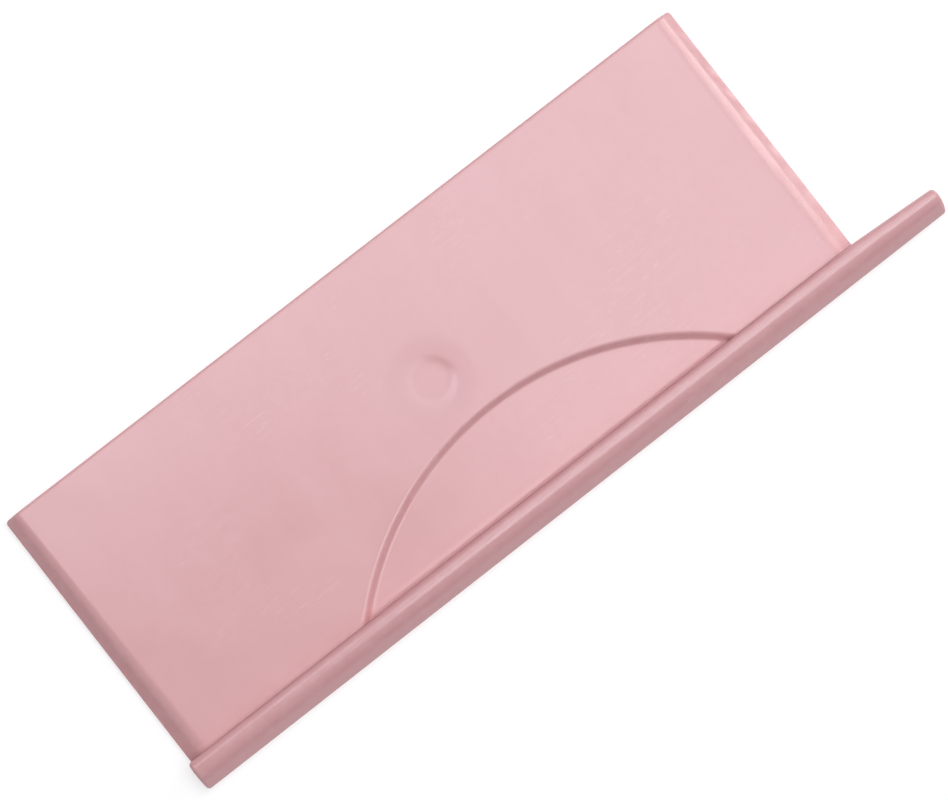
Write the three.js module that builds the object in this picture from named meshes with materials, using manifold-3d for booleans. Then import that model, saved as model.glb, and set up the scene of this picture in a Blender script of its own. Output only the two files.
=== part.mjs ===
// A small hand-held scoring board, in millimetres, +Z up.
//
// A flat moulded plate carries the paper. Its two short ends are bevelled, and a fence rail
// stands along one long side, overhanging the plate at one end. A shallow half-moon finger
// recess opens against the rail, and a small round gate dimple marks the plate's middle.
// T-shaped tabs on the plate's edge sit in notches of the rail, which is cored from below.
// Four thin rubber feet sit in round seats under the plate.
//
// X runs along the rail towards its overhanging end, Y from the rail to the far edge.
// The origin is on the table, under the middle of the whole board.

import * as THREE from 'three';
import { mergeVertices } from 'three/addons/utils/BufferGeometryUtils.js';
import Module from 'manifold-3d';

const wasm = await Module();
wasm.setup();

// ---- driving dimensions ----

const PLATE_LENGTH = 140;
const PLATE_WIDTH = 49.6;
const PLATE_THICKNESS = 3.2;
const PLATE_CORNER_RADIUS = 0.7;
const FAR_EDGE_RADIUS = 0.5;

// Each short end: an upright land, a flat bevel, and a rounded turn onto the top face.
const END_LAND = 1;
const END_BEVEL_ANGLE = THREE.MathUtils.degToRad(40);
const END_TURN_RADIUS = 3.5;

const RAIL_WIDTH = 5.5;
const RAIL_HEIGHT = 5.7;
const RAIL_OVERHANG = 16;
const RAIL_START = 0.5;
const RAIL_TIP_WIDTH = 4.6;
const RAIL_CORNER_RADIUS = 0.8;
const RAIL_INNER_RADIUS = 1.2;
const RAIL_CREST_RADIUS = 3.4;
const RAIL_SLOPE_START = THREE.MathUtils.degToRad(40);
const RAIL_SLOPE_END = THREE.MathUtils.degToRad(58);
const RAIL_EDGE_RADIUS = 0.6;
const RAIL_OUTER_WALL = 1.5;
const RAIL_INNER_WALL = 1.4;
const RAIL_WEB = 1.6;

const RECESS_RADIUS = 55.2;
const RECESS_REACH = 15.6;
const RECESS_OFFSET = 5.4;
const RECESS_DEPTH = 0.9;
const RECESS_WALL_RUN = 1.75;

const DIMPLE_RADIUS = 3.75;
const DIMPLE_DEPTH = 0.15;
const DIMPLE_WALL_RUN = 1.7;

const TAB_COUNT = 4;
const TAB_NECK = 7;
const TAB_HEAD = 11;
const TAB_THICKNESS = 1.1;

const FOOT_RADIUS = 4;
const FOOT_THICKNESS = 0.9;
const FOOT_EDGE_RADIUS = 0.2;
const FOOT_SEAT_DEPTH = 0.6;
const FOOT_INSET = 10;
const FOOT_ADHESIVE = 0.2;

// Clearances: the open joint between plate and rail, and the play around tabs and feet.
const JOINT_GAP = 0.3;
const FIT_CLEARANCE = 0.3;

// How far a cutter runs past the face it opens, and a tab is rooted in the plate.
const OVERRUN = 1;

const ARC_STEPS = 8;
const RECESS_STEPS = 256;
const DIMPLE_STEPS = 48;
const FOOT_STEPS = 48;

// ---- places that follow from them ----

const RAIL_LENGTH = RAIL_START + PLATE_LENGTH + RAIL_OVERHANG;
const BOARD_WIDTH = RAIL_WIDTH + JOINT_GAP + PLATE_WIDTH;
const UNDERSIDE_Z = FOOT_ADHESIVE + FOOT_THICKNESS - FOOT_SEAT_DEPTH;
const PLATE_TOP_Z = UNDERSIDE_Z + PLATE_THICKNESS;
const RAIL_X = -RAIL_LENGTH / 2;
const RAIL_Y = -BOARD_WIDTH / 2;
const PLATE_X = RAIL_X + RAIL_START;
const PLATE_Y = RAIL_Y + RAIL_WIDTH + JOINT_GAP;
const PLATE_MIDDLE_X = PLATE_X + PLATE_LENGTH / 2;
const TAB_PITCH = PLATE_LENGTH / TAB_COUNT;
const TAB_Z = UNDERSIDE_Z + (PLATE_THICKNESS - RECESS_DEPTH - TAB_THICKNESS) / 2;
const CHANNEL_TOP_Z = TAB_Z + TAB_THICKNESS + FIT_CLEARANCE;
const CHANNEL_WIDTH = RAIL_WIDTH - RAIL_OUTER_WALL - RAIL_INNER_WALL;

// ---- solids, cut and joined ----

function solid(geometry) {
  const bare = geometry.clone();
  bare.deleteAttribute('normal');
  bare.deleteAttribute('uv');
  const merged = mergeVertices(bare, 1e-5);
  return new wasm.Manifold(new wasm.Mesh({
    numProp: 3,
    vertProperties: new Float32Array(merged.attributes.position.array),
    triVerts: new Uint32Array(merged.index.array),
  }));
}

function geometryOf(body) {
  const mesh = body.getMesh();
  const geometry = new THREE.BufferGeometry();
  geometry.setAttribute('position', new THREE.BufferAttribute(mesh.vertProperties, 3));
  geometry.setIndex(new THREE.BufferAttribute(mesh.triVerts, 1));
  geometry.computeVertexNormals();
  return geometry;
}

// A box given by its lowest corner and its size.
function block(x, y, z, length, width, height) {
  const geometry = new THREE.BoxGeometry(length, width, height);
  geometry.translate(x + length / 2, y + width / 2, z + height / 2);
  return solid(geometry);
}

// Points of an arc about (cx, cy), as [x, y] pairs.
function arc(cx, cy, radius, from, to, steps = ARC_STEPS) {
  const points = [];
  for (let i = 0; i <= steps; i++) {
    const angle = from + (to - from) * i / steps;
    points.push([cx + radius * Math.cos(angle), cy + radius * Math.sin(angle)]);
  }
  return points;
}

function outline(points) {
  return new THREE.Shape(points.map(([x, y]) => new THREE.Vector2(x, y)));
}

function extrude(points, depth) {
  return new THREE.ExtrudeGeometry(outline(points), { depth, bevelEnabled: false });
}

// A solid that joins one closed outline, given as [y, z] pairs, through several places.
// Each place has its x and the factor that narrows the outline towards y = 0.
function loft(points, places) {
  const count = points.length;
  const positions = [];
  for (const { x, narrowing } of places) {
    for (const [y, z] of points) positions.push(x, y * narrowing, z);
  }
  const index = [];
  for (let ring = 0; ring < places.length - 1; ring++) {
    for (let i = 0; i < count; i++) {
      const here = ring * count + i;
      const next = ring * count + (i + 1) % count;
      index.push(here, next, here + count);
      index.push(next, next + count, here + count);
    }
  }
  const caps = THREE.ShapeUtils.triangulateShape(outline(points).getPoints(), []);
  const last = (places.length - 1) * count;
  for (const [a, b, c] of caps) {
    index.push(a, c, b);
    index.push(last + a, last + b, last + c);
  }
  const geometry = new THREE.BufferGeometry();
  geometry.setAttribute('position', new THREE.Float32BufferAttribute(positions, 3));
  geometry.setIndex(index);
  return geometry;
}

// A round cutter that sinks a flat-floored recess with a soft S-shaped wall.
// The wall is half-way down at the given radius.
function dishCutter(radius, depth, wallRun, steps) {
  const inner = radius - wallRun / 2;
  const profile = [[0, -depth]];
  for (let i = 0; i <= ARC_STEPS; i++) {
    const rise = (1 - Math.cos(Math.PI * i / ARC_STEPS)) / 2;
    profile.push([inner + wallRun * i / ARC_STEPS, depth * (rise - 1)]);
  }
  profile.push([radius + wallRun / 2, OVERRUN]);
  profile.push([0, OVERRUN]);
  const geometry = new THREE.LatheGeometry(profile.map(([r, z]) => new THREE.Vector2(r, z)), steps);
  return geometry.rotateX(Math.PI / 2);
}

// ---- the plate ----

// Side view of the plate, length along x, with both bevelled ends.
function plateEndProfile() {
  const turnRun = END_TURN_RADIUS * Math.sin(END_BEVEL_ANGLE);
  const turnDrop = END_TURN_RADIUS * (1 - Math.cos(END_BEVEL_ANGLE));
  const bevelRun = (PLATE_THICKNESS - END_LAND - turnDrop) / Math.tan(END_BEVEL_ANGLE);
  const turnX = bevelRun + turnRun;
  const turnZ = PLATE_THICKNESS - END_TURN_RADIUS;
  const steepest = Math.PI / 2 - END_BEVEL_ANGLE;
  return [
    [0, 0],
    [PLATE_LENGTH, 0],
    [PLATE_LENGTH, END_LAND],
    ...arc(PLATE_LENGTH - turnX, turnZ, END_TURN_RADIUS, steepest, Math.PI / 2),
    ...arc(turnX, turnZ, END_TURN_RADIUS, Math.PI / 2, Math.PI - steepest),
    [0, END_LAND],
  ];
}

// End view of the plate, width along y, with the small radius on its far top edge.
function plateEdgeProfile() {
  const r = FAR_EDGE_RADIUS;
  return [
    [0, 0],
    [PLATE_WIDTH, 0],
    ...arc(PLATE_WIDTH - r, PLATE_THICKNESS - r, r, 0, Math.PI / 2),
    [0, PLATE_THICKNESS],
  ];
}

// The plate from above, with its two far corners rounded.
function platePlan() {
  const r = PLATE_CORNER_RADIUS;
  return [
    [0, 0],
    [PLATE_LENGTH, 0],
    ...arc(PLATE_LENGTH - r, PLATE_WIDTH - r, r, 0, Math.PI / 2),
    ...arc(r, PLATE_WIDTH - r, r, Math.PI / 2, Math.PI),
  ];
}

// A T-shaped tab: its neck crosses the joint and the rail's inner wall, its head sits behind.
function tab(x) {
  const neckEnd = RAIL_Y + RAIL_WIDTH - RAIL_INNER_WALL - FIT_CLEARANCE;
  const headLength = CHANNEL_WIDTH - 2 * FIT_CLEARANCE;
  const neckLength = PLATE_Y + OVERRUN - neckEnd;
  const neck = block(x - TAB_NECK / 2, neckEnd, TAB_Z, TAB_NECK, neckLength, TAB_THICKNESS);
  const head = block(x - TAB_HEAD / 2, neckEnd - headLength, TAB_Z, TAB_HEAD, headLength, TAB_THICKNESS);
  return neck.add(head);
}

function footPlaces() {
  const ends = [['left', PLATE_X + FOOT_INSET], ['right', PLATE_X + PLATE_LENGTH - FOOT_INSET]];
  const sides = [['front', PLATE_Y + FOOT_INSET], ['back', PLATE_Y + PLATE_WIDTH - FOOT_INSET]];
  return ends.flatMap(([end, x]) => sides.map(([side, y]) => ({ name: `foot_${side}_${end}`, x, y })));
}

function boardPlate() {
  const along = extrude(plateEndProfile(), PLATE_WIDTH).rotateX(Math.PI / 2);
  along.translate(PLATE_X, PLATE_Y + PLATE_WIDTH, UNDERSIDE_Z);
  const across = extrude(plateEdgeProfile(), PLATE_LENGTH).rotateX(Math.PI / 2).rotateZ(Math.PI / 2);
  across.translate(PLATE_X, PLATE_Y, UNDERSIDE_Z);
  const plan = extrude(platePlan(), PLATE_THICKNESS);
  plan.translate(PLATE_X, PLATE_Y, UNDERSIDE_Z);
  let body = solid(along).intersect(solid(across)).intersect(solid(plan));

  const recess = dishCutter(RECESS_RADIUS, RECESS_DEPTH, RECESS_WALL_RUN, RECESS_STEPS);
  recess.translate(PLATE_MIDDLE_X + RECESS_OFFSET, PLATE_Y + RECESS_REACH - RECESS_RADIUS, PLATE_TOP_Z);
  body = body.subtract(solid(recess));

  const dimple = dishCutter(DIMPLE_RADIUS, DIMPLE_DEPTH, DIMPLE_WALL_RUN, DIMPLE_STEPS);
  dimple.translate(PLATE_MIDDLE_X, PLATE_Y + PLATE_WIDTH / 2, PLATE_TOP_Z);
  body = body.subtract(solid(dimple));

  for (const { x, y } of footPlaces()) {
    const seat = new THREE.CylinderGeometry(
      FOOT_RADIUS + FIT_CLEARANCE, FOOT_RADIUS + FIT_CLEARANCE, FOOT_SEAT_DEPTH + OVERRUN, FOOT_STEPS);
    seat.rotateX(Math.PI / 2);
    seat.translate(x, y, UNDERSIDE_Z + (FOOT_SEAT_DEPTH - OVERRUN) / 2);
    body = body.subtract(solid(seat));
  }
  for (let i = 0; i < TAB_COUNT; i++) {
    body = body.add(tab(PLATE_X + (i + 0.5) * TAB_PITCH));
  }
  return geometryOf(body);
}

// ---- the rail ----

// End view of the rail: y from its outer side to the face that stands over the plate.
// The crest is rounder towards the plate, and a slope falls from it to an upright outer edge.
function railProfile() {
  const crestY = RAIL_WIDTH - RAIL_INNER_RADIUS;
  const crestZ = RAIL_HEIGHT - RAIL_CREST_RADIUS;
  const startSin = Math.sin(RAIL_SLOPE_START);
  const endSin = Math.sin(RAIL_SLOPE_END);
  const slopeRun = crestY - RAIL_CREST_RADIUS * startSin - RAIL_EDGE_RADIUS * (1 - endSin);
  const slopeRadius = slopeRun / (endSin - startSin);
  const slopeReach = slopeRadius - RAIL_CREST_RADIUS;
  const slopeY = crestY + slopeReach * startSin;
  const slopeZ = crestZ - slopeReach * Math.cos(RAIL_SLOPE_START);
  const edgeZ = slopeZ + (slopeRadius - RAIL_EDGE_RADIUS) * Math.cos(RAIL_SLOPE_END);
  const top = Math.PI / 2;
  return [
    [0, 0],
    [RAIL_WIDTH, 0],
    ...arc(crestY, RAIL_HEIGHT - RAIL_INNER_RADIUS, RAIL_INNER_RADIUS, 0, top),
    ...arc(crestY, crestZ, RAIL_CREST_RADIUS, top, top + RAIL_SLOPE_START).slice(1),
    ...arc(slopeY, slopeZ, slopeRadius, top + RAIL_SLOPE_START, top + RAIL_SLOPE_END).slice(1),
    ...arc(RAIL_EDGE_RADIUS, edgeZ, RAIL_EDGE_RADIUS, top + RAIL_SLOPE_END, Math.PI).slice(1),
  ];
}

// The rail from above, with all four corners rounded.
function railPlan() {
  const r = RAIL_CORNER_RADIUS;
  const quarter = Math.PI / 2;
  return [
    ...arc(r, r, r, 2 * quarter, 3 * quarter),
    ...arc(RAIL_LENGTH - r, r, r, -quarter, 0),
    ...arc(RAIL_LENGTH - r, RAIL_TIP_WIDTH - r, r, 0, quarter),
    [RAIL_START + PLATE_LENGTH, RAIL_WIDTH],
    ...arc(r, RAIL_WIDTH - r, r, quarter, 2 * quarter),
  ];
}

function fenceRail() {
  const plateEnd = PLATE_X + PLATE_LENGTH;
  const bar = loft(railProfile(), [
    { x: RAIL_X, narrowing: 1 },
    { x: plateEnd, narrowing: 1 },
    { x: plateEnd + RAIL_OVERHANG, narrowing: RAIL_TIP_WIDTH / RAIL_WIDTH },
  ]);
  bar.translate(0, RAIL_Y, UNDERSIDE_Z);
  const plan = extrude(railPlan(), RAIL_HEIGHT);
  plan.translate(RAIL_X, RAIL_Y, UNDERSIDE_Z);
  let body = solid(bar).intersect(solid(plan));

  const bottom = UNDERSIDE_Z - OVERRUN;
  const channelHeight = CHANNEL_TOP_Z - bottom;
  const notchWidth = TAB_NECK + 2 * FIT_CLEARANCE;
  for (let i = 0; i < TAB_COUNT; i++) {
    const start = PLATE_X + i * TAB_PITCH + RAIL_WEB / 2;
    const middle = PLATE_X + (i + 0.5) * TAB_PITCH;
    const channel = block(
      start, RAIL_Y + RAIL_OUTER_WALL, bottom, TAB_PITCH - RAIL_WEB, CHANNEL_WIDTH, channelHeight);
    const notch = block(
      middle - notchWidth / 2, RAIL_Y + RAIL_OUTER_WALL + CHANNEL_WIDTH / 2, bottom,
      notchWidth, RAIL_WIDTH, channelHeight);
    body = body.subtract(channel).subtract(notch);
  }
  return geometryOf(body);
}

// ---- the feet ----

function foot() {
  const r = FOOT_EDGE_RADIUS;
  const profile = [
    [0, 0],
    ...arc(FOOT_RADIUS - r, r, r, -Math.PI / 2, 0, ARC_STEPS / 2),
    [FOOT_RADIUS, FOOT_THICKNESS],
    [0, FOOT_THICKNESS],
  ];
  const points = profile.map(([x, y]) => new THREE.Vector2(x, y));
  return new THREE.LatheGeometry(points, FOOT_STEPS).rotateX(Math.PI / 2);
}

// ---- the board ----

function platePlastic() {
  return new THREE.MeshStandardMaterial({ color: 0xdfb3b7, roughness: 0.35, metalness: 0 });
}

function railPlastic() {
  return new THREE.MeshStandardMaterial({ color: 0xdcafb3, roughness: 0.32, metalness: 0 });
}

function footRubber() {
  return new THREE.MeshStandardMaterial({ color: 0xd9d6d2, roughness: 0.85, metalness: 0 });
}

function part(name, geometry, material) {
  const mesh = new THREE.Mesh(geometry, material);
  mesh.name = name;
  return mesh;
}

const board = new THREE.Group();
board.add(part('board_plate', boardPlate(), platePlastic()));
board.add(part('fence_rail', fenceRail(), railPlastic()));
for (const { name, x, y } of footPlaces()) {
  const pad = part(name, foot(), footRubber());
  pad.position.set(x, y, 0);
  board.add(pad);
}

export default board;
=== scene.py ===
"""The scoring board's looks: glossy pale pink mouldings and rubber feet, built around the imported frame.

Shapes are modelled in millimetres in the frame's own axes (+X along the rail towards its
overhanging end, +Y from the rail to the far edge, +Z up) and turned into metres when a mesh is made.
"""

import math

import bmesh
import bpy
from mathutils import Matrix, Vector, noise
from mathutils.geometry import delaunay_2d_cdt


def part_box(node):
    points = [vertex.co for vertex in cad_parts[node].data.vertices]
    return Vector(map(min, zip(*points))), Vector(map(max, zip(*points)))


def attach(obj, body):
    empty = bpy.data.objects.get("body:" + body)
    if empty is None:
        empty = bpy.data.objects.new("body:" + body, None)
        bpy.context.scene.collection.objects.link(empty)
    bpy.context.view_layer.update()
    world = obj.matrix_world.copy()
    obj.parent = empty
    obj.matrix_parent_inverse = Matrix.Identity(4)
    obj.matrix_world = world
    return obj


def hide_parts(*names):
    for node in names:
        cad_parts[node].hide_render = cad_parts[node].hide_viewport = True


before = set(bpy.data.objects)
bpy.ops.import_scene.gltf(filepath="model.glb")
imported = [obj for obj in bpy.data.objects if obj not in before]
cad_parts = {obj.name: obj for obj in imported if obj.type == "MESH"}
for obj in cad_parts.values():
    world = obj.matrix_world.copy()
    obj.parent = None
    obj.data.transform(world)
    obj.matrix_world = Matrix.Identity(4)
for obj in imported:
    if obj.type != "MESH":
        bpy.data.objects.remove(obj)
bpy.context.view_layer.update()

MM = 0.001

# ---- sizes, in millimetres ----

# The plate reaches to within NEAR_GAP of the rail, where the frame leaves its JOINT_GAP.
JOINT_GAP = 0.3
NEAR_GAP = 0.01
FIT_CLEARANCE = 0.3

PLATE_CORNER_RADIUS = 0.7
FAR_EDGE_RADIUS = 0.5
FAR_EDGE_FADE = 1.5
NEAR_EDGE_RADIUS = 0.03
NEAR_ROLL_RUN = 1.7
NEAR_ROLL_DROP = 0.04
RECESS_ROLL_DROP = 0.17
BOTTOM_EDGE_RADIUS = 0.15

END_LAND = 1.0
END_LAND_RADIUS = 0.3
END_BEVEL_ANGLE = math.radians(40)
END_TURN_RADIUS = 3.5
LEFT_END_NARROWING = 0.24
RIGHT_END_NARROWING = 0.1

RECESS_RIM = 56.05
RECESS_CENTRE_Y = -61.5
RECESS_OFFSET = 5.4
RECESS_DEPTH = 0.9
RECESS_RIM_RADIUS = 1.1
RECESS_FOOT_RADIUS = 0.8
RECESS_WALL_ANGLE = math.radians(41)

DIMPLE_RADIUS = 3.75
DIMPLE_DEPTH = 0.1
DIMPLE_WALL_RUN = 1.5

# A wider and shallower sink round the gate dimple.
SINK_RADIUS = 5
SINK_DEPTH = 0.06
SINK_RUN = 5

# The moulded top face isn't quite flat: slow waves, which fade out towards the bevelled ends.
SWELL_HEIGHT = 0.02
SWELL_LENGTH = 45
SWELL_FADE = 10
SWELL_SLICE = 0.7

TAB_COUNT = 4
TAB_NECK = 7
TAB_HEAD = 11
TAB_THICKNESS = 1.1
TAB_ROOT = 1
TAB_OVERLAP = 0.4
TAB_EDGE_RADIUS = 0.12

RAIL_OVERHANG = 16
RAIL_TIP_WIDTH = 4.6
RAIL_INNER_RADIUS = 1.2
RAIL_CREST_RADIUS = 3.4
RAIL_SLOPE_START = math.radians(40)
RAIL_SLOPE_END = math.radians(58)
RAIL_EDGE_RADIUS = 0.6
RAIL_BOTTOM_RADIUS = 0.25
RAIL_TIP_RADIUS = 0.7
RAIL_OUTER_WALL = 1.5
RAIL_INNER_WALL = 1.4
RAIL_WEB = 1.6
CHANNEL_CORNER_RADIUS = 0.3
NOTCH_CORNER_RADIUS = 0.15

FOOT_SEAT_DEPTH = 0.6
SEAT_CORNER_RADIUS = 0.15
FOOT_EDGE_RADIUS = 0.25
FOOT_TOP_RADIUS = 0.1

# How far a cutter runs past the face that it opens.
OVERRUN = 1

# ---- surfaces ----

# Sizes of features and heights of relief are in millimetres, and tones are factors of the base
# colour. A RANGE is the stretch of a noise or a tilt over which its effect changes. A tilt is 0 on
# an upright wall and 1 on the flat.
PLATE_COLOUR = (0.705, 0.39, 0.395)
PLATE_ROUGHNESS = 0.19
# How much of the painted shade on steep faces the plate takes.
PLATE_STEEP_SHADE_DEPTH = 0.9
RAIL_COLOUR = (0.665, 0.362, 0.372)
RAIL_ROUGHNESS = 0.18
# How much of the painted shade on steep faces the rail takes.
RAIL_STEEP_SHADE_DEPTH = 0.5
# Above about this height the rail's crest is painted pale: partly wear, partly a painted highlight.
RAIL_WORN_AND_HIGHLIT_HEIGHT = 6.15

EVEN_RANGE = (0.3, 0.7)
CLOUD_SIZE = 28
CLOUD_DARK = (0.985, 0.975, 0.975)
CLOUD_LIGHT = (1.01, 1.015, 1.015)
PIGMENT_SIZE = 1.6
PIGMENT_RANGE = (0.25, 0.75)
PIGMENT_AMOUNT = 0.5
PIGMENT_TONE = (0.975, 0.955, 0.96)
FLOW_SIZE = 6
FLOW_STRETCH = (1, 7, 1)
FLOW_TURN = math.radians(4)
FLOW_RANGE = (0.35, 0.75)
FLOW_AMOUNT = 0.35
FLOW_TONE = (1.02, 1.045, 1.04)
# Painted shade: faces steeper than this tilt range are darkened, as if shade fell on the bevels and
# slopes.
STEEP_SHADE_RANGE = (0.66, 0.94)
STEEP_SHADE_TONE = (0.94, 0.86, 0.88)

# Pale rounded edges and crest: partly rubbed wear, partly painted highlight where light catches the
# edges.
WEAR_SIZE = 2.4
WEAR_RANGE = (0.42, 0.68)
WEAR_AND_HIGHLIGHT_AMOUNT = 0.2
WEAR_AND_HIGHLIGHT_TONE = (1.12, 1.32, 1.3)
WEAR_DULLING = 0.12
EDGE_BELOW_RANGE = (0.5, 0.8)
EDGE_ABOVE_RANGE = (0.9, 0.995)
CREST_BAND = 0.25

# Each set of scratches has a length, a width and a direction.
SCRATCHES = [
    (18, 0.5, math.radians(28)),
    (13, 0.4, math.radians(-41)),
    (24, 0.6, math.radians(86)),
]
SCRATCH_PATCH = 22
SCRATCH_PATCH_RANGE = (0.48, 0.66)
SCRATCH_BAND = 0.009
SCRATCH_TINT = 0.13
SCRATCH_DULLING = 0.1
SCRATCH_HEIGHT = 0.002

GLOSS_SIZE = 9
GLOSS_BELOW = 0.03
GLOSS_ABOVE = 0.045
PEEL_SIZE = 1.3
PEEL_HEIGHT = 0.004
GRAIN_SIZE = 0.12
GRAIN_HEIGHT = 0.0006

RUBBER_COLOUR = (0.7, 0.69, 0.67)
RUBBER_ROUGHNESS = 0.8
RUBBER_GLOSSIEST = 0.72
RUBBER_DULLEST = 0.88
RUBBER_MOTTLE_SIZE = 1.6
RUBBER_DARK = (0.94, 0.94, 0.93)
RUBBER_LIGHT = (1.04, 1.04, 1.04)
RUBBER_GRAIN_SIZE = 0.25
RUBBER_GRAIN_HEIGHT = 0.012
RUBBER_WAVE_SIZE = 1.2
RUBBER_WAVE_HEIGHT = 0.02
DUST_SIZE = 0.5
DUST_RANGE = (0.5, 0.7)
DUST_TILT_RANGE = (0.3, 0.98)
DUST_ON_WALLS = 0.6
DUST_ON_FLATS = 0.15
DUST_TONE = (0.72, 0.7, 0.66)

# ---- fineness of the meshes ----

# A guard row is a line of points just outside a curved stretch, which keeps the flat beside it flat.
GUARD = 0.12
# The flats' points stand this far apart, and keep clear of the recess's wall and the gate's rings.
GRID = 2.5
GRID_CLEARANCE = GRID / 3
END_CLEARANCE = 1
GATE_RING_SPACING = GRID / 8
GATE_MIDDLE_RADIUS = 1
RECESS_ARC_STEP = 0.7
SECTION_SPACING = 4
OVERHANG_SECTION_SPACING = 2
MERGE_DISTANCE = 1e-4
NEAREST_POINTS = 0.01
SHARP_ANGLE = math.radians(35)

# Numbers of steps round each rounded stretch.
CORNER_STEPS = 8
NEAR_EDGE_STEPS = 3
NEAR_ROLL_STEPS = 8
FAR_EDGE_STEPS = 6
BOTTOM_STEPS = 3
LAND_STEPS = 3
TURN_STEPS = 12
RECESS_RIM_STEPS = 9
RECESS_FOOT_STEPS = 4
GATE_STEPS = 64
GATE_MIDDLE_STEPS = 16
RAIL_BOTTOM_STEPS = 4
RAIL_INNER_STEPS = 20
RAIL_CREST_STEPS = 14
RAIL_SLOPE_STEPS = 16
RAIL_EDGE_STEPS = 8
RAIL_TIP_STEPS = 8
SEAT_STEPS = 64
SEAT_CORNER_STEPS = 3
FOOT_STEPS = 72
FOOT_EDGE_STEPS = 6
FOOT_TOP_STEPS = 3


def corners(node):
    """A CAD node's lowest and highest corner, in millimetres."""
    low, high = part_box(node)
    return low / MM, high / MM


plate_low, plate_high = corners("board_plate")
rail_low, rail_high = corners("fence_rail")
UNDERSIDE = plate_low.z
THICKNESS = plate_high.z - plate_low.z
LENGTH = plate_high.x - plate_low.x
NEAR_Y = rail_high.y + NEAR_GAP
WIDTH = plate_high.y - NEAR_Y
RAIL_WIDTH = rail_high.y - rail_low.y
RAIL_HEIGHT = rail_high.z - rail_low.z
RAIL_LENGTH = rail_high.x - rail_low.x
CHANNEL_WIDTH = RAIL_WIDTH - RAIL_OUTER_WALL - RAIL_INNER_WALL
TAB_BOTTOM = UNDERSIDE + (THICKNESS - RECESS_DEPTH - TAB_THICKNESS) / 2
TAB_TOP = TAB_BOTTOM + TAB_THICKNESS
TAB_PLACES = [plate_low.x + (i + 0.5) * LENGTH / TAB_COUNT for i in range(TAB_COUNT)]
FEET = [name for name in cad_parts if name.startswith("foot_")]


# ---- mesh helpers ----


def object_from(bm, name, material):
    """Turns a bmesh in millimetres into a smooth-shaded object in metres, sharp at its hard edges."""
    bmesh.ops.scale(bm, vec=(MM, MM, MM), verts=bm.verts)
    mesh = bpy.data.meshes.new(name)
    bm.to_mesh(mesh)
    bm.free()
    mesh.shade_smooth()
    mesh.set_sharp_from_angle(angle=SHARP_ANGLE)
    mesh.materials.append(material)
    piece = bpy.data.objects.new(name, mesh)
    bpy.context.scene.collection.objects.link(piece)
    return piece


def combine(bm, others, operation):
    """Joins or cuts a bmesh with a list of closed bmeshes, and returns the new bmesh."""
    def temporary(source):
        mesh = bpy.data.meshes.new("temporary")
        source.to_mesh(mesh)
        source.free()
        holder = bpy.data.objects.new("temporary", mesh)
        bpy.context.scene.collection.objects.link(holder)
        return holder

    base = temporary(bm)
    holders = [temporary(other) for other in others]
    for holder in holders:
        cut = base.modifiers.new("cut", "BOOLEAN")
        cut.operation = operation
        cut.solver = "EXACT"
        cut.object = holder
    evaluated = base.evaluated_get(bpy.context.evaluated_depsgraph_get())
    result = bmesh.new()
    result.from_mesh(evaluated.to_mesh())
    evaluated.to_mesh_clear()
    for holder in [base, *holders]:
        mesh = holder.data
        bpy.data.objects.remove(holder)
        bpy.data.meshes.remove(mesh)
    return result


def block(low, high, radius, edges="xyz", segments=3):
    """A box from its lowest to its highest corner, with rounded edges along the named axes."""
    bm = bmesh.new()
    size = Vector(high) - Vector(low)
    middle = (Vector(high) + Vector(low)) / 2
    bmesh.ops.create_cube(bm, size=1, matrix=Matrix.Translation(middle) @ Matrix.Diagonal((*size, 1)))
    chosen = []
    for edge in bm.edges:
        run = edge.verts[1].co - edge.verts[0].co
        axis = "xyz"[max(range(3), key=lambda i: abs(run[i]))]
        if axis in edges:
            chosen.append(edge)
    bmesh.ops.bevel(bm, geom=chosen, offset=radius, segments=segments, profile=0.5, affect="EDGES")
    return bm


def turned(profile, steps, place):
    """A closed solid turned about a vertical axis from a profile of (radius, height), axis to axis."""
    bm = bmesh.new()
    rings = []
    for radius, height in profile:
        if radius == 0:
            rings.append([bm.verts.new((place[0], place[1], height))])
            continue
        ring = []
        for i in range(steps):
            angle = 2 * math.pi * i / steps
            ring.append(bm.verts.new(
                (place[0] + radius * math.cos(angle), place[1] + radius * math.sin(angle), height)))
        rings.append(ring)
    for lower, upper in zip(rings, rings[1:]):
        for i in range(steps):
            j = (i + 1) % steps
            if len(lower) == 1:
                bm.faces.new((lower[0], upper[j], upper[i]))
            elif len(upper) == 1:
                bm.faces.new((lower[i], lower[j], upper[0]))
            else:
                bm.faces.new((lower[i], lower[j], upper[j], upper[i]))
    bmesh.ops.recalc_face_normals(bm, faces=bm.faces)
    return bm


def arc(cx, cy, radius, start, end, steps):
    """Points of an arc, both ends included."""
    points = []
    for i in range(steps + 1):
        angle = start + (end - start) * i / steps
        points.append((cx + radius * math.cos(angle), cy + radius * math.sin(angle)))
    return points


# ---- the plate's top face, as a height over its plan ----

RECESS_X = LENGTH / 2 + RECESS_OFFSET
RECESS_Y = RECESS_CENTRE_Y - NEAR_Y
DIMPLE_X = LENGTH / 2
DIMPLE_Y = (plate_high.y + rail_high.y + JOINT_GAP) / 2 - NEAR_Y
TURN_RUN = END_TURN_RADIUS * math.sin(END_BEVEL_ANGLE)
TURN_DROP = END_TURN_RADIUS * (1 - math.cos(END_BEVEL_ANGLE))
BEVEL_RUN = (THICKNESS - END_LAND - TURN_DROP) / math.tan(END_BEVEL_ANGLE)
LAND_RUN = END_LAND_RADIUS * (1 - math.sin(END_BEVEL_ANGLE))
RECESS_FOOT_RUN = RECESS_FOOT_RADIUS * math.sin(RECESS_WALL_ANGLE)
RECESS_FOOT_DROP = RECESS_FOOT_RADIUS * (1 - math.cos(RECESS_WALL_ANGLE))
RECESS_RIM_RUN = RECESS_RIM_RADIUS * math.sin(RECESS_WALL_ANGLE)
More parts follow.
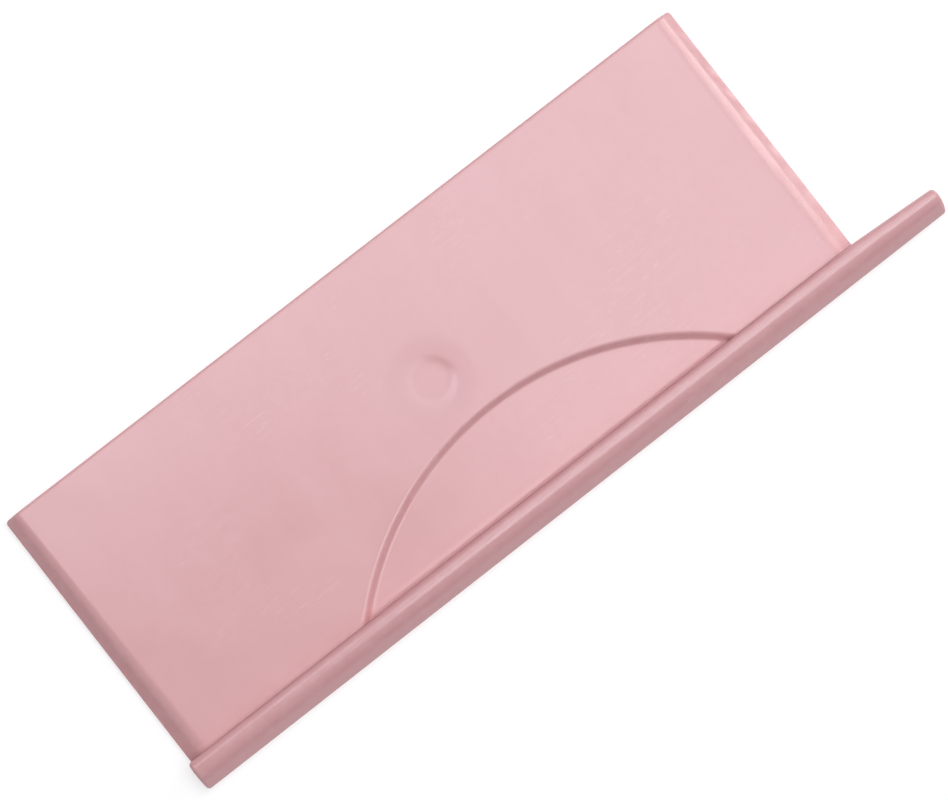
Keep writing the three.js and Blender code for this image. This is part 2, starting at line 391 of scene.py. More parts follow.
RECESS_RIM_DROP = RECESS_RIM_RADIUS * (1 - math.cos(RECESS_WALL_ANGLE))
RECESS_STRAIGHT = (RECESS_DEPTH - RECESS_RIM_DROP - RECESS_FOOT_DROP) / math.tan(RECESS_WALL_ANGLE)
RECESS_WALL_RUN = RECESS_RIM_RUN + RECESS_STRAIGHT + RECESS_FOOT_RUN


def end_height(d):
    """Height of the top face above the underside, at a distance d in from a bevelled end."""
    if d < LAND_RUN:
        centre = END_LAND - END_LAND_RADIUS * math.tan(END_BEVEL_ANGLE / 2)
        return centre + math.sqrt(max(0, END_LAND_RADIUS**2 - (END_LAND_RADIUS - d)**2))
    if d < BEVEL_RUN:
        return END_LAND + d * math.tan(END_BEVEL_ANGLE)
    if d < BEVEL_RUN + TURN_RUN:
        back = BEVEL_RUN + TURN_RUN - d
        return THICKNESS - END_TURN_RADIUS + math.sqrt(END_TURN_RADIUS**2 - back**2)
    return THICKNESS


def edge_drop(d, radius):
    """How far a rounded edge falls at a distance d in from it."""
    if d >= radius or radius <= 0:
        return 0
    return radius - math.sqrt(max(0, radius**2 - (radius - d)**2))


def dish_drop(distance, radius, depth, run):
    """How far a recess with a soft S-shaped wall falls at a distance from its centre."""
    along = (distance - radius) / run + 0.5
    if along >= 1:
        return 0
    if along <= 0:
        return depth
    return depth * (1 + math.cos(math.pi * along)) / 2


def recess_drop(inset):
    """How far the recess falls at a distance in from its rim: a round shoulder, a wall, a tight foot."""
    left = RECESS_WALL_RUN - inset
    if inset <= 0:
        return 0
    if inset < RECESS_RIM_RUN:
        return RECESS_RIM_RADIUS - math.sqrt(RECESS_RIM_RADIUS**2 - inset**2)
    if left > RECESS_FOOT_RUN:
        return RECESS_RIM_DROP + (inset - RECESS_RIM_RUN) * math.tan(RECESS_WALL_ANGLE)
    if left > 0:
        return RECESS_DEPTH - RECESS_FOOT_RADIUS + math.sqrt(RECESS_FOOT_RADIUS**2 - left**2)
    return RECESS_DEPTH


def end_distance(u, v):
    """Distance in from the nearer end, as if its bevel didn't narrow towards the far edge."""
    left, right = end_scales(v)
    return min(u / left, (LENGTH - u) / right)


def end_scales(v):
    """How wide the left and right bevels are at a distance v from the near edge, as factors."""
    return 1 - LEFT_END_NARROWING * v / WIDTH, 1 - RIGHT_END_NARROWING * v / WIDTH


def far_distance(u, v):
    """Distance in from the plate's far outline, its rounded corners included."""
    from_end = min(u, LENGTH - u)
    if from_end < PLATE_CORNER_RADIUS and v > WIDTH - PLATE_CORNER_RADIUS:
        out = math.hypot(PLATE_CORNER_RADIUS - from_end, v - WIDTH + PLATE_CORNER_RADIUS)
        return PLATE_CORNER_RADIUS - out
    return WIDTH - v


def swell(u, v):
    """The slow waves of the moulded face, fading out towards the bevelled ends."""
    wave = noise.noise(Vector((u / SWELL_LENGTH, v / SWELL_LENGTH, SWELL_SLICE)))
    fade = min(1, max(0, (min(u, LENGTH - u) - BEVEL_RUN - TURN_RUN) / SWELL_FADE))
    return SWELL_HEIGHT * wave * fade


def top_height(u, v):
    """Height of the top face above the underside, with u along the plate and v from its near edge."""
    from_end = end_distance(u, v)
    height = end_height(from_end)
    far_radius = FAR_EDGE_RADIUS * min(1, from_end / FAR_EDGE_FADE)
    height -= edge_drop(max(0, far_distance(u, v)), far_radius)
    sunk = recess_drop(RECESS_RIM - math.hypot(u - RECESS_X, v - RECESS_Y))
    roll = NEAR_ROLL_DROP + (RECESS_ROLL_DROP - NEAR_ROLL_DROP) * sunk / RECESS_DEPTH
    height -= sunk + roll * max(0, 1 - v / NEAR_ROLL_RUN)**2 + edge_drop(max(0, v), NEAR_EDGE_RADIUS)
    gate = math.hypot(u - DIMPLE_X, v - DIMPLE_Y)
    height -= dish_drop(gate, DIMPLE_RADIUS, DIMPLE_DEPTH, DIMPLE_WALL_RUN)
    height -= dish_drop(gate, SINK_RADIUS, SINK_DEPTH, SINK_RUN)
    return height + swell(u, v)


def edge_rows(radius, count):
    """Distances in from a rounded edge, evenly spaced round its arc, with a guard row."""
    rows = [radius * (1 - math.cos(math.pi / 2 * i / count)) for i in range(1, count + 1)]
    return [*rows, radius + GUARD]


def recess_rows():
    """Radii of the arcs that the recess's wall is built on, with a guard row beyond each end."""
    def turn(radius, steps):
        return [radius * math.sin(RECESS_WALL_ANGLE * i / steps) for i in range(steps + 1)]

    rim = turn(RECESS_RIM_RADIUS, RECESS_RIM_STEPS)
    foot = turn(RECESS_FOOT_RADIUS, RECESS_FOOT_STEPS)
    insets = [-GUARD, *rim, *(RECESS_WALL_RUN - d for d in reversed(foot)), RECESS_WALL_RUN + GUARD]
    return [RECESS_RIM - inset for inset in insets]


def end_rows():
    """Distances in from a bevelled end at which its profile turns."""
    rows = [LAND_RUN * i / LAND_STEPS for i in range(1, LAND_STEPS + 1)]
    rows += [LAND_RUN + GUARD, BEVEL_RUN - GUARD]
    for i in range(TURN_STEPS + 1):
        angle = END_BEVEL_ANGLE * (1 - i / TURN_STEPS)
        rows.append(BEVEL_RUN + TURN_RUN - END_TURN_RADIUS * math.sin(angle))
    return [*rows, BEVEL_RUN + TURN_RUN + GUARD]


def spaced(start, end, step):
    """Even places from a start to an end, about a step apart."""
    count = max(1, round((end - start) / step))
    return [start + (end - start) * i / count for i in range(count + 1)]


def recess_half_angle(radius):
    """Half the angle that a circle about the recess's centre spends over the plate."""
    return math.acos(-RECESS_Y / radius)


def plate_plan():
    """Points and lines that the top face's triangles follow, and its outline."""
    points = []
    lines = []

    def add_line(run, closed=False):
        first = len(points)
        points.extend(run)
        count = len(run)
        lines.extend((first + i, first + (i + 1) % count) for i in range(count if closed else count - 1))

    stops = end_rows()

    def crossings(v):
        left, right = end_scales(v)
        return [d * left for d in stops] + [LENGTH - d * right for d in reversed(stops)]

    clear = stops[-1] + END_CLEARANCE
    along = [u for u in spaced(0, LENGTH, GRID) if clear < u < LENGTH - clear]
    recess_radii = recess_rows()

    near = {round(u, 6) for u in [*crossings(0), *along]}
    for radius in recess_radii:
        half = radius * math.sin(recess_half_angle(radius))
        near |= {round(RECESS_X - half, 6), round(RECESS_X + half, 6)}
    near = [0, *(u for u in sorted(near) if NEAREST_POINTS < u < LENGTH - NEAREST_POINTS), LENGTH]
    r = PLATE_CORNER_RADIUS
    right = arc(LENGTH - r, WIDTH - r, r, 0, math.pi / 2, CORNER_STEPS)
    left = arc(r, WIDTH - r, r, math.pi / 2, math.pi, CORNER_STEPS)
    sides = spaced(0, WIDTH - r, GRID)[1:-1]
    far = [u for u in sorted([*crossings(WIDTH), *along], reverse=True) if r < u < LENGTH - r]
    outline = [(u, 0) for u in near]
    outline += [(LENGTH, v) for v in sides] + right
    outline += [(u, WIDTH) for u in far] + left
    outline += [(0, v) for v in reversed(sides)]
    points.extend(outline)

    near_rows = edge_rows(NEAR_EDGE_RADIUS, NEAR_EDGE_STEPS)
    far_rows = edge_rows(FAR_EDGE_RADIUS, FAR_EDGE_STEPS)
    inner = near_rows[-1]
    near_rows += spaced(inner, NEAR_ROLL_RUN, NEAR_ROLL_RUN / NEAR_ROLL_STEPS)[1:]
    rungs = spaced(inner, WIDTH - far_rows[-1], GRID)
    for line in zip(*(crossings(v) for v in rungs)):
        add_line(list(zip(line, rungs)))
    for d in near_rows:
        add_line([(u, d) for u in near[1:-1]])
    for d in far_rows:
        add_line([(u, WIDTH - d) for u in reversed(far) if stops[1] < u < LENGTH - stops[1]])
    for radius in recess_radii:
        half = recess_half_angle(radius)
        steps = round(2 * half * radius / RECESS_ARC_STEP)
        run = arc(RECESS_X, RECESS_Y, radius, math.pi / 2 + half, math.pi / 2 - half, steps)
        add_line([p for p in run if p[1] > inner])
    points.append((DIMPLE_X, DIMPLE_Y))
    sink_rim = SINK_RADIUS + SINK_RUN / 2
    for radius in spaced(GATE_RING_SPACING, sink_rim, GATE_RING_SPACING):
        steps = GATE_MIDDLE_STEPS if radius < GATE_MIDDLE_RADIUS else GATE_STEPS
        add_line(arc(DIMPLE_X, DIMPLE_Y, radius, 0, 2 * math.pi, steps)[:-1], closed=True)
    half_wall = RECESS_WALL_RUN / 2
    for u in along:
        for v in spaced(0, WIDTH, GRID)[1:-1]:
            recess = abs(math.hypot(u - RECESS_X, v - RECESS_Y) - (RECESS_RIM - half_wall))
            gate = math.hypot(u - DIMPLE_X, v - DIMPLE_Y)
            if recess > half_wall + GRID_CLEARANCE and gate > sink_rim + GRID_CLEARANCE:
                points.append((u, v))
    return points, lines, list(range(len(outline)))


def boundary_loop(bm):
    """The open mesh's border vertices, in order round the plan."""
    start = next(e for e in bm.edges if e.is_boundary)
    loop = [start.verts[0]]
    edge = start
    while True:
        vert = edge.other_vert(loop[-1])
        if vert == loop[0]:
            return loop
        loop.append(vert)
        edge = next(e for e in vert.link_edges if e.is_boundary and e != edge)


def plate_body():
    """The plate without its tabs and seats: the top face, upright walls and a flat underside."""
    points, lines, outline = plate_plan()
    # Output type 1 keeps the triangles inside the outline.
    made = delaunay_2d_cdt([Vector(p) for p in points], lines, [outline], 1, MERGE_DISTANCE)
    bm = bmesh.new()
    for u, v in made[0]:
        bm.verts.new((plate_low.x + u, NEAR_Y + v, UNDERSIDE + top_height(u, v)))
    bm.verts.ensure_lookup_table()
    for face in made[2]:
        bm.faces.new([bm.verts[i] for i in face])
    loop = boundary_loop(bm)
    count = len(loop)
    r = BOTTOM_EDGE_RADIUS
    previous = loop
    for step in range(BOTTOM_STEPS + 1):
        angle = math.pi / 2 * step / BOTTOM_STEPS
        inset = r * (1 - math.cos(angle))
        height = UNDERSIDE + r * (1 - math.sin(angle))
        ring = []
        for i, vert in enumerate(loop):
            run = loop[(i + 1) % count].co - loop[i - 1].co
            inward = Vector((-run.y, run.x, 0)).normalized()
            if inward.dot(Vector((plate_low.x + LENGTH / 2, NEAR_Y + WIDTH / 2, 0)) - vert.co) < 0:
                inward.negate()
            place = vert.co + inward * inset
            ring.append(bm.verts.new((place.x, place.y, height)))
        for i in range(count):
            j = (i + 1) % count
            bm.faces.new((previous[i], previous[j], ring[j], ring[i]))
        previous = ring
    bm.faces.new(previous)
    bmesh.ops.recalc_face_normals(bm, faces=bm.faces)
    return bm


def tab(x):
    """A T-shaped tab on the plate's near edge."""
    neck_end = rail_high.y - RAIL_INNER_WALL - FIT_CLEARANCE
    head_end = neck_end - CHANNEL_WIDTH + 2 * FIT_CLEARANCE
    neck = block(
        (x - TAB_NECK / 2, neck_end - TAB_OVERLAP, TAB_BOTTOM),
        (x + TAB_NECK / 2, NEAR_Y + TAB_ROOT, TAB_TOP), TAB_EDGE_RADIUS, edges="y")
    head = block(
        (x - TAB_HEAD / 2, head_end, TAB_BOTTOM),
        (x + TAB_HEAD / 2, neck_end, TAB_TOP), TAB_EDGE_RADIUS)
    return combine(neck, [head], "UNION")


def seat_cutter(place, radius):
    """A round seat under the plate, with a soft inner corner."""
    r = SEAT_CORNER_RADIUS
    top = UNDERSIDE + FOOT_SEAT_DEPTH
    bottom = UNDERSIDE - OVERRUN
    profile = [(0, bottom), (radius, bottom)]
    profile += arc(radius - r, top - r, r, 0, math.pi / 2, SEAT_CORNER_STEPS)
    profile.append((0, top))
    return turned(profile, SEAT_STEPS, place)


def board_plate(material):
    body = plate_body()
    cutters = []
    for name in FEET:
        low, high = corners(name)
        middle = (low + high) / 2
        cutters.append(seat_cutter((middle.x, middle.y), (high.x - low.x) / 2 + FIT_CLEARANCE))
    body = combine(body, cutters, "DIFFERENCE")
    body = combine(body, [tab(x) for x in TAB_PLACES], "UNION")
    return object_from(body, "board_plate_moulding", material)


# ---- the rail ----


def rail_profile():
    """The rail's outline across its length, as (y, z) from its outer bottom corner."""
    w, h, b = RAIL_WIDTH, RAIL_HEIGHT, RAIL_BOTTOM_RADIUS
    quarter = math.pi / 2
    crest_y = w - RAIL_INNER_RADIUS
    crest_z = h - RAIL_CREST_RADIUS
    start_sin, end_sin = math.sin(RAIL_SLOPE_START), math.sin(RAIL_SLOPE_END)
    run = crest_y - RAIL_CREST_RADIUS * start_sin - RAIL_EDGE_RADIUS * (1 - end_sin)
    slope_radius = run / (end_sin - start_sin)
    reach = slope_radius - RAIL_CREST_RADIUS
    slope_y = crest_y + reach * start_sin
    slope_z = crest_z - reach * math.cos(RAIL_SLOPE_START)
    edge_z = slope_z + (slope_radius - RAIL_EDGE_RADIUS) * math.cos(RAIL_SLOPE_END)
    slope_start = quarter + RAIL_SLOPE_START
    slope_end = quarter + RAIL_SLOPE_END
    points = arc(b, b, b, -2 * quarter, -quarter, RAIL_BOTTOM_STEPS)
    points += [(b + GUARD, 0), (w - b - GUARD, 0)]
    points += arc(w - b, b, b, -quarter, 0, RAIL_BOTTOM_STEPS)
    points += [(w, b + GUARD), (w, h - RAIL_INNER_RADIUS - GUARD)]
    points += arc(crest_y, h - RAIL_INNER_RADIUS, RAIL_INNER_RADIUS, 0, quarter, RAIL_INNER_STEPS)
    points += arc(crest_y, crest_z, RAIL_CREST_RADIUS, quarter, slope_start, RAIL_CREST_STEPS)[1:]
    points += arc(slope_y, slope_z, slope_radius, slope_start, slope_end, RAIL_SLOPE_STEPS)[1:]
    points += arc(
        RAIL_EDGE_RADIUS, edge_z, RAIL_EDGE_RADIUS, slope_end, 2 * quarter, RAIL_EDGE_STEPS)[1:]
    points += [(0, edge_z - GUARD), (0, b + GUARD)]
    return points


def rail_sections():
    """Places along the rail as (x, width factor, shrink towards the section's middle)."""
    r = RAIL_TIP_RADIUS
    plate_end = RAIL_LENGTH - RAIL_OVERHANG
    taper = 1 - RAIL_TIP_WIDTH / RAIL_WIDTH

    def narrowing(x):
        return 1 - taper * max(0, x - plate_end) / RAIL_OVERHANG

    places = []
    for i in range(RAIL_TIP_STEPS + 1):
        angle = math.pi / 2 * i / RAIL_TIP_STEPS
        places.append((r * (1 - math.cos(angle)), r * (1 - math.sin(angle))))
    sections = [(x, narrowing(x), shrink) for x, shrink in places]
    overhang = spaced(plate_end, RAIL_LENGTH - r, OVERHANG_SECTION_SPACING)
    sections += [(x, narrowing(x), 0) for x in spaced(r, plate_end, SECTION_SPACING)[1:]]
    sections += [(x, narrowing(x), 0) for x in overhang[1:-1]]
    sections += [(RAIL_LENGTH - x, narrowing(RAIL_LENGTH - x), shrink) for x, shrink in reversed(places)]
    return sections


def rail_body():
    """The rail without its channels and notches: its section swept along its length."""
    profile = rail_profile()
    bm = bmesh.new()
    rings = []
    for x, narrowing, shrink in rail_sections():
        width = RAIL_WIDTH * narrowing
        ring = []
        for y, z in profile:
            y *= narrowing
            y = width / 2 + (y - width / 2) * (1 - 2 * shrink / width)
            z = RAIL_HEIGHT / 2 + (z - RAIL_HEIGHT / 2) * (1 - 2 * shrink / RAIL_HEIGHT)
            ring.append(bm.verts.new((rail_low.x + x, rail_low.y + y, rail_low.z + z)))
        rings.append(ring)
    count = len(profile)
    for here, after in zip(rings, rings[1:]):
        for i in range(count):
            j = (i + 1) % count
            bm.faces.new((here[i], here[j], after[j], after[i]))
    bm.faces.new(rings[0])
    bm.faces.new(rings[-1])
    bmesh.ops.recalc_face_normals(bm, faces=bm.faces)
    return bm


def fence_rail(material):
    bottom = rail_low.z - OVERRUN
    top = TAB_TOP + FIT_CLEARANCE
    channel_y = rail_low.y + RAIL_OUTER_WALL
    pitch = LENGTH / TAB_COUNT
    cutters = []
    for x in TAB_PLACES:
        half = (pitch - RAIL_WEB) / 2
        channel = block(
            (x - half, channel_y, bottom), (x + half, channel_y + CHANNEL_WIDTH, top),
            CHANNEL_CORNER_RADIUS, segments=4)
        half = TAB_NECK / 2 + FIT_CLEARANCE
        notch = block(
            (x - half, channel_y + CHANNEL_WIDTH / 2, bottom), (x + half, rail_high.y + OVERRUN, top),
            NOTCH_CORNER_RADIUS, edges="y")
        cutters.append(combine(channel, [notch], "UNION"))
    return object_from(combine(rail_body(), cutters, "DIFFERENCE"), "fence_rail_moulding", material)


# ---- the feet ----


def rubber_foot(node, material):
    low, high = corners(node)
    middle = (low + high) / 2
    radius = (high.x - low.x) / 2
    r, t = FOOT_EDGE_RADIUS, FOOT_TOP_RADIUS
    profile = [(0, low.z), (radius - r - GUARD, low.z)]
    profile += arc(radius - r, low.z + r, r, -math.pi / 2, 0, FOOT_EDGE_STEPS)
    profile += arc(radius - t, high.z - t, t, 0, math.pi / 2, FOOT_TOP_STEPS)
    profile += [(radius - t - GUARD, high.z), (0, high.z)]
    return object_from(turned(profile, FOOT_STEPS, (middle.x, middle.y)), node + "_pad", material)


# ---- materials ----


def new_material(name, colour, roughness):
    material = bpy.data.materials.new(name)
    material.use_nodes = True
    shader = material.node_tree.nodes["Principled BSDF"]
    shader.inputs["Base Color"].default_value = (*colour, 1)
    shader.inputs["Roughness"].default_value = roughness
    return material


class Graph:
    """Builds one material's nodes. A node's inputs are given by name, as values or as other outputs."""

    def __init__(self, material):
        self.nodes = material.node_tree.nodes
        self.links = material.node_tree.links
        self.shader = self.nodes["Principled BSDF"]
        self.place = self.nodes.new("ShaderNodeTexCoord").outputs["Object"]
        self.geometry = self.nodes.new("ShaderNodeNewGeometry")

    def set(self, socket, value):
        """Links a socket to an output, or gives it a value."""
        if isinstance(value, bpy.types.NodeSocket):
            self.links.new(value, socket)
        else:
            socket.default_value = value

    def node(self, kind, output, inputs, **settings):
        """Adds a node with its inputs and settings, and returns one of its outputs."""
        made = self.nodes.new("ShaderNode" + kind)
        for name, value in settings.items():
            setattr(made, name, value)
        for key, value in inputs.items():
            self.set(made.inputs[key], value)
        return made.outputs[output]

    def math(self, operation, *values):
        return self.node("Math", 0, dict(enumerate(values)), operation=operation)

    def noise(self, size, detail=2.0, stretch=(1, 1, 1), turn=0.0, roughness=0.5):
        """Noise from 0 to 1 with features of a size in millimetres, stretched and turned in plan."""
        place = self.node(
            "Mapping", "Vector",
            {"Vector": self.place, "Rotation": (0, 0, turn), "Scale": tuple(1 / s for s in stretch)})
        return self.node("TexNoise", "Fac", {
            "Vector": place, "Scale": 1 / (size * MM), "Detail": detail, "Roughness": roughness})

    def ramp(self, value, start, end, low=0.0, high=1.0):
        """A value's smooth change from low to high as it goes from start to end."""
        return self.node("MapRange", "Result", {
            "Value": value, "From Min": start, "From Max": end, "To Min": low, "To Max": high,
        }, interpolation_type="SMOOTHSTEP")

    def mix(self, amount, colour, other):
        """A colour that goes towards another one by an amount from 0 to 1."""
        # A Mix node's colour sockets share their names with its others, so they go by number.
        return self.node("Mix", 2, {0: amount, 6: colour, 7: other}, data_type="RGBA")

    def tilt(self):
        """How far a surface faces upwards, from 0 on a wall to 1 on the flat."""
        split = self.node("SeparateXYZ", "Z", {"Vector": self.geometry.outputs["Normal"]})
        return self.math("ABSOLUTE", split)

    def height(self):
        """Height above the table, in millimetres."""
        return self.math("DIVIDE", self.node("SeparateXYZ", "Z", {"Vector": self.place}), MM)

    def scratches(self, length, width, turn):
        """Thin straight marks, as the narrow bands where a stretched noise crosses its middle."""
        band = self.noise(1, detail=0.0, stretch=(length, width, 1), turn=turn)
        off = self.math("ABSOLUTE", self.math("SUBTRACT", band, 0.5))
        return self.ramp(off, 0.0, SCRATCH_BAND, 1.0, 0.0)

    def bump(self, height, distance, below=None):
        """Relief of a height in millimetres, on top of another relief if one is given."""
        inputs = {"Height": height, "Strength": 1.0, "Distance": distance * MM}
        if below is not None:
            inputs["Normal"] = below
        return self.node("Bump", "Normal", inputs)


def shade(colour, factors):
    """A base colour times a tone, as a colour socket takes it."""
    return (*(c * f for c, f in zip(colour, factors)), 1)


def pink_plastic(name, colour, roughness, steep_shade_depth, worn_and_highlit_height=None):
    """Glossy moulded plastic: cloudy pigment, orange peel, fine scratches, and pale edges that are partly
    rubbed wear and partly painted highlight.

    Steep faces are darkened with painted shade, and a piece is also painted pale, as wear and painted
    highlight, where it reaches a given height.
    """
    material = new_material(name, colour, roughness)
    g = Graph(material)
    cloud = g.noise(CLOUD_SIZE, detail=3.0)
    pigment = g.noise(PIGMENT_SIZE, detail=4.0, roughness=0.6)
    flow = g.noise(FLOW_SIZE, detail=2.0, stretch=FLOW_STRETCH, turn=FLOW_TURN)
    tone = g.mix(g.ramp(cloud, *EVEN_RANGE), shade(colour, CLOUD_DARK), shade(colour, CLOUD_LIGHT))
    pigment = g.ramp(pigment, *PIGMENT_RANGE, high=PIGMENT_AMOUNT)
    tone = g.mix(pigment, tone, shade(colour, PIGMENT_TONE))
    flow = g.ramp(flow, *FLOW_RANGE, high=FLOW_AMOUNT)
    tone = g.mix(flow, tone, shade(colour, FLOW_TONE))

    tilt = g.tilt()
    # Painted shade: steep faces are mixed towards a darker, deeper tone.
    painted_steep_shade = g.ramp(tilt, *STEEP_SHADE_RANGE, 1.0, 0.0)
    tone = g.mix(g.math("MULTIPLY", painted_steep_shade, steep_shade_depth), tone, shade(colour, STEEP_SHADE_TONE))

    # Pale rounded edges and crest, broken up by a rubbed noise: partly wear and partly painted highlight.
    rubbed = g.ramp(g.noise(WEAR_SIZE, detail=5.0, roughness=0.7), *WEAR_RANGE)
    above = g.ramp(tilt, *EDGE_ABOVE_RANGE, 1.0, 0.0)
    edge = g.math("MULTIPLY", g.ramp(tilt, *EDGE_BELOW_RANGE), above)
    if worn_and_highlit_height is not None:
        edge = g.math("MAXIMUM", edge, g.ramp(g.height(), worn_and_highlit_height - CREST_BAND, worn_and_highlit_height))
    wear_and_highlight = g.math("MULTIPLY", g.math("MULTIPLY", edge, rubbed), WEAR_AND_HIGHLIGHT_AMOUNT)
    tone = g.mix(wear_and_highlight, tone, shade(colour, WEAR_AND_HIGHLIGHT_TONE))

    marks = 0.0
    for scratch in SCRATCHES:
        marks = g.math("MAXIMUM", marks, g.scratches(*scratch))
    patch = g.ramp(g.noise(SCRATCH_PATCH, detail=1.0), *SCRATCH_PATCH_RANGE)
    marks = g.math("MULTIPLY", marks, patch)
    tone = g.mix(g.math("MULTIPLY", marks, SCRATCH_TINT), tone, shade(colour, WEAR_AND_HIGHLIGHT_TONE))
    g.set(g.shader.inputs["Base Color"], tone)

    gloss = g.noise(GLOSS_SIZE, detail=4.0)
    gloss = g.ramp(gloss, *EVEN_RANGE, roughness - GLOSS_BELOW, roughness + GLOSS_ABOVE)
    gloss = g.math("ADD", gloss, g.math("MULTIPLY", wear_and_highlight, WEAR_DULLING))
    gloss = g.math("ADD", gloss, g.math("MULTIPLY", marks, SCRATCH_DULLING))
    g.set(g.shader.inputs["Roughness"], gloss)

    peel = g.bump(g.noise(PEEL_SIZE, detail=1.0), PEEL_HEIGHT)
    grain = g.bump(g.noise(GRAIN_SIZE, detail=2.0), GRAIN_HEIGHT, peel)
    g.set(g.shader.inputs["Normal"], g.bump(marks, -SCRATCH_HEIGHT, grain))
    return material


def rubber():
    """Matt off-white rubber with a fine grain, a little dusty on its rim."""
    colour = RUBBER_COLOUR
    material = new_material("foot_rubber", colour, RUBBER_ROUGHNESS)
    g = Graph(material)
    mottle = g.noise(RUBBER_MOTTLE_SIZE, detail=4.0)
    tone = g.mix(g.ramp(mottle, *EVEN_RANGE), shade(colour, RUBBER_DARK), shade(colour, RUBBER_LIGHT))
    dust = g.ramp(g.noise(DUST_SIZE, detail=5.0, roughness=0.7), *DUST_RANGE)
    walls = g.ramp(g.tilt(), *DUST_TILT_RANGE, DUST_ON_WALLS, DUST_ON_FLATS)
    tone = g.mix(g.math("MULTIPLY", dust, walls), tone, shade(colour, DUST_TONE))
    g.set(g.shader.inputs["Base Color"], tone)
    gloss = g.ramp(mottle, *EVEN_RANGE, RUBBER_GLOSSIEST, RUBBER_DULLEST)
    g.set(g.shader.inputs["Roughness"], gloss)
    grain = g.bump(g.noise(RUBBER_GRAIN_SIZE, detail=3.0), RUBBER_GRAIN_HEIGHT)
    wave = g.noise(RUBBER_WAVE_SIZE, detail=1.0)
    g.set(g.shader.inputs["Normal"], g.bump(wave, RUBBER_WAVE_HEIGHT, grain))
    return material


# ---- the setting: camera, light and floor, in metres ----

CAMERA_DISTANCE = 0.55
CAMERA_AIM = (-0.0042, -0.0039)
CAMERA_LEAN_X = math.radians(-4.3)
CAMERA_LEAN_Y = math.radians(-1.1)
CAMERA_TURN = math.radians(38.03)
CAMERA_LENS = 125.8

SOFTBOX_TINT = (0.98, 0.98, 1.07)
RIGHT_SOFTBOX_PLACE = (0.272, 0.05, 1.0)
RIGHT_SOFTBOX_SIZE = (0.46, 0.5)
RIGHT_SOFTBOX_RADIANCE = 2.9
BACK_SOFTBOX_PLACE = (0.1, 0.19, 1.0)
BACK_SOFTBOX_SIZE = (0.8, 0.24)
BACK_SOFTBOX_RADIANCE = 4.5
FRONT_SOFTBOX_PLACE = (0.22, -0.32, 1.0)
FRONT_SOFTBOX_SIZE = (0.5, 0.4)
FRONT_SOFTBOX_RADIANCE = 4.5
KEY_PLACE = (0.2, 0.62, 0.9)
KEY_SIZE = (0.4, 0.3)
KEY_RADIANCE = 3.1
WINDOW_PLACE = (0.8, 0.04, 0.76)
WINDOW_SIZE = (0.15, 1.5)
WINDOW_RADIANCE = 5.7
ROOM_BRIGHT_SIDE = (0.4, 0.6, 0.6)
ROOM_DIM = 0.0
ROOM_BRIGHT = 0.25
# The floor lies a hair below the feet, so that the two faces don't flicker where they would meet.
FLOOR_GAP = 0.00002
FLOOR_HALF_SIZE = 2
FLOOR_ALBEDO = 0.35
FLOOR_ROUGHNESS = 0.9
FLOOR_GLOW = 0.69


def add_camera():
    """A camera nearly above the board, turned so that the rail rises to the right."""
    data = bpy.data.cameras.new("camera")
    data.lens = CAMERA_LENS
    camera = bpy.data.objects.new("camera", data)
    bpy.context.scene.collection.objects.link(camera)
    bpy.context.scene.camera = camera
    back = Vector((math.tan(CAMERA_LEAN_X), math.tan(CAMERA_LEAN_Y), 1)).normalized()
    up = Vector((math.sin(CAMERA_TURN), math.cos(CAMERA_TURN), 0))
    right = up.cross(back).normalized()
    up = back.cross(right)
    turn = Matrix((right, up, back)).transposed()
    aim = Vector((*CAMERA_AIM, plate_high.z * MM))
    camera.matrix_world = Matrix.Translation(aim + CAMERA_DISTANCE * back) @ turn.to_4x4()


def add_area(name, place, size, radiance, edge=(1, 0, 0), target=None, tint=(1, 1, 1)):
    """A rectangular light facing straight down, or towards a target, with one side along an edge."""
    data = bpy.data.lights.new(name, "AREA")
    data.shape = "RECTANGLE"
    data.size, data.size_y = size
    data.energy = radiance * math.pi * size[0] * size[1]
    data.color = tint
    light = bpy.data.objects.new(name, data)
    bpy.context.scene.collection.objects.link(light)
    back = Vector((0, 0, 1)) if target is None else (Vector(place) - Vector(target)).normalized()
    side = Vector(edge)
    side = (side - side.dot(back) * back).normalized()
    turn = Matrix((side, back.cross(side), back)).transposed()
    light.matrix_world = Matrix.Translation(place) @ turn.to_4x4()


def add_world():
    """A dim room, brighter on the side that most of the lights stand on."""
    world = bpy.data.worlds.new("room")
    bpy.context.scene.world = world
    world.use_nodes = True
    nodes, links = world.node_tree.nodes, world.node_tree.links
    direction = nodes.new("ShaderNodeTexCoord")
    towards = nodes.new("ShaderNodeVectorMath")
    towards.operation = "DOT_PRODUCT"
    towards.inputs[1].default_value = Vector(ROOM_BRIGHT_SIDE).normalized()
    links.new(direction.outputs["Generated"], towards.inputs[0])
    level = nodes.new("ShaderNodeMapRange")
    level.inputs["From Min"].default_value = -1
    level.inputs["From Max"].default_value = 1
    level.inputs["To Min"].default_value = ROOM_DIM
    level.inputs["To Max"].default_value = ROOM_BRIGHT
    links.new(towards.outputs["Value"], level.inputs["Value"])
    links.new(level.outputs["Result"], nodes["Background"].inputs["Strength"])
    nodes["Background"].inputs["Color"].default_value = (1, 1, 1, 1)


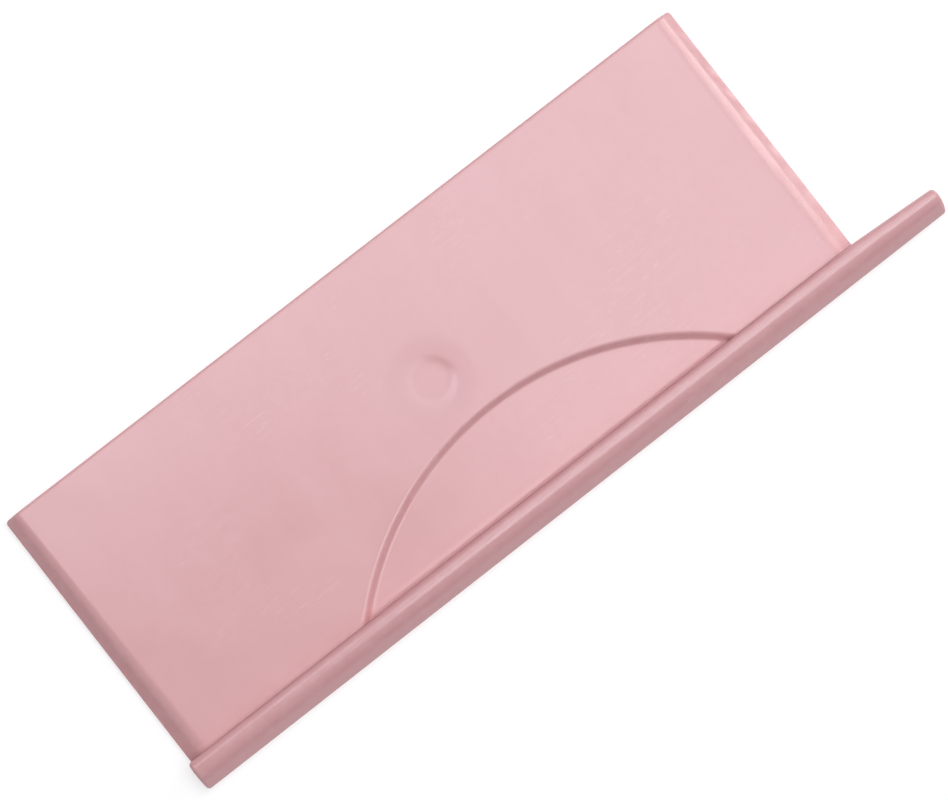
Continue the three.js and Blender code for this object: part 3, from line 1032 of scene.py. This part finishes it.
def add_lights():
    """Three softboxes overhead, which mirror in the glossy plate, a key light and a tall window."""
    add_area(
        "right_softbox", RIGHT_SOFTBOX_PLACE, RIGHT_SOFTBOX_SIZE, RIGHT_SOFTBOX_RADIANCE,
        tint=SOFTBOX_TINT)
    add_area(
        "back_softbox", BACK_SOFTBOX_PLACE, BACK_SOFTBOX_SIZE, BACK_SOFTBOX_RADIANCE,
        tint=SOFTBOX_TINT)
    add_area("front_softbox", FRONT_SOFTBOX_PLACE, FRONT_SOFTBOX_SIZE, FRONT_SOFTBOX_RADIANCE)
    add_area("key_light", KEY_PLACE, KEY_SIZE, KEY_RADIANCE, target=(0, 0, 0))
    add_area(
        "window", WINDOW_PLACE, WINDOW_SIZE, WINDOW_RADIANCE,
        edge=(0, 1, 0), target=(0, 0, WINDOW_PLACE[2]))
    add_world()


def add_floor():
    """A pale sheet under the board, with a glow of its own that keeps it white."""
    bm = bmesh.new()
    bmesh.ops.create_grid(bm, x_segments=8, y_segments=8, size=FLOOR_HALF_SIZE)
    mesh = bpy.data.meshes.new("floor")
    bm.to_mesh(mesh)
    bm.free()
    material = new_material("floor_paper", (FLOOR_ALBEDO,) * 3, FLOOR_ROUGHNESS)
    shader = material.node_tree.nodes["Principled BSDF"]
    shader.inputs["Emission Color"].default_value = (1, 1, 1, 1)
    shader.inputs["Emission Strength"].default_value = FLOOR_GLOW
    mesh.materials.append(material)
    floor = bpy.data.objects.new("floor", mesh)
    floor.location.z = -FLOOR_GAP
    bpy.context.scene.collection.objects.link(floor)


bpy.context.scene.view_settings.view_transform = "Standard"
add_camera()
add_lights()
add_floor()

plate_material = pink_plastic("plate_plastic", PLATE_COLOUR, PLATE_ROUGHNESS, PLATE_STEEP_SHADE_DEPTH)
plate = board_plate(plate_material)
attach(plate, "root")
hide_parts("board_plate")

rail_material = pink_plastic(
    "rail_plastic", RAIL_COLOUR, RAIL_ROUGHNESS, RAIL_STEEP_SHADE_DEPTH, RAIL_WORN_AND_HIGHLIT_HEIGHT)
rail = fence_rail(rail_material)
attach(rail, "root")
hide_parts("fence_rail")

foot_material = rubber()
for foot_name in FEET:
    pad = rubber_foot(foot_name, foot_material)
    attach(pad, "root")
    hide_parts(foot_name)
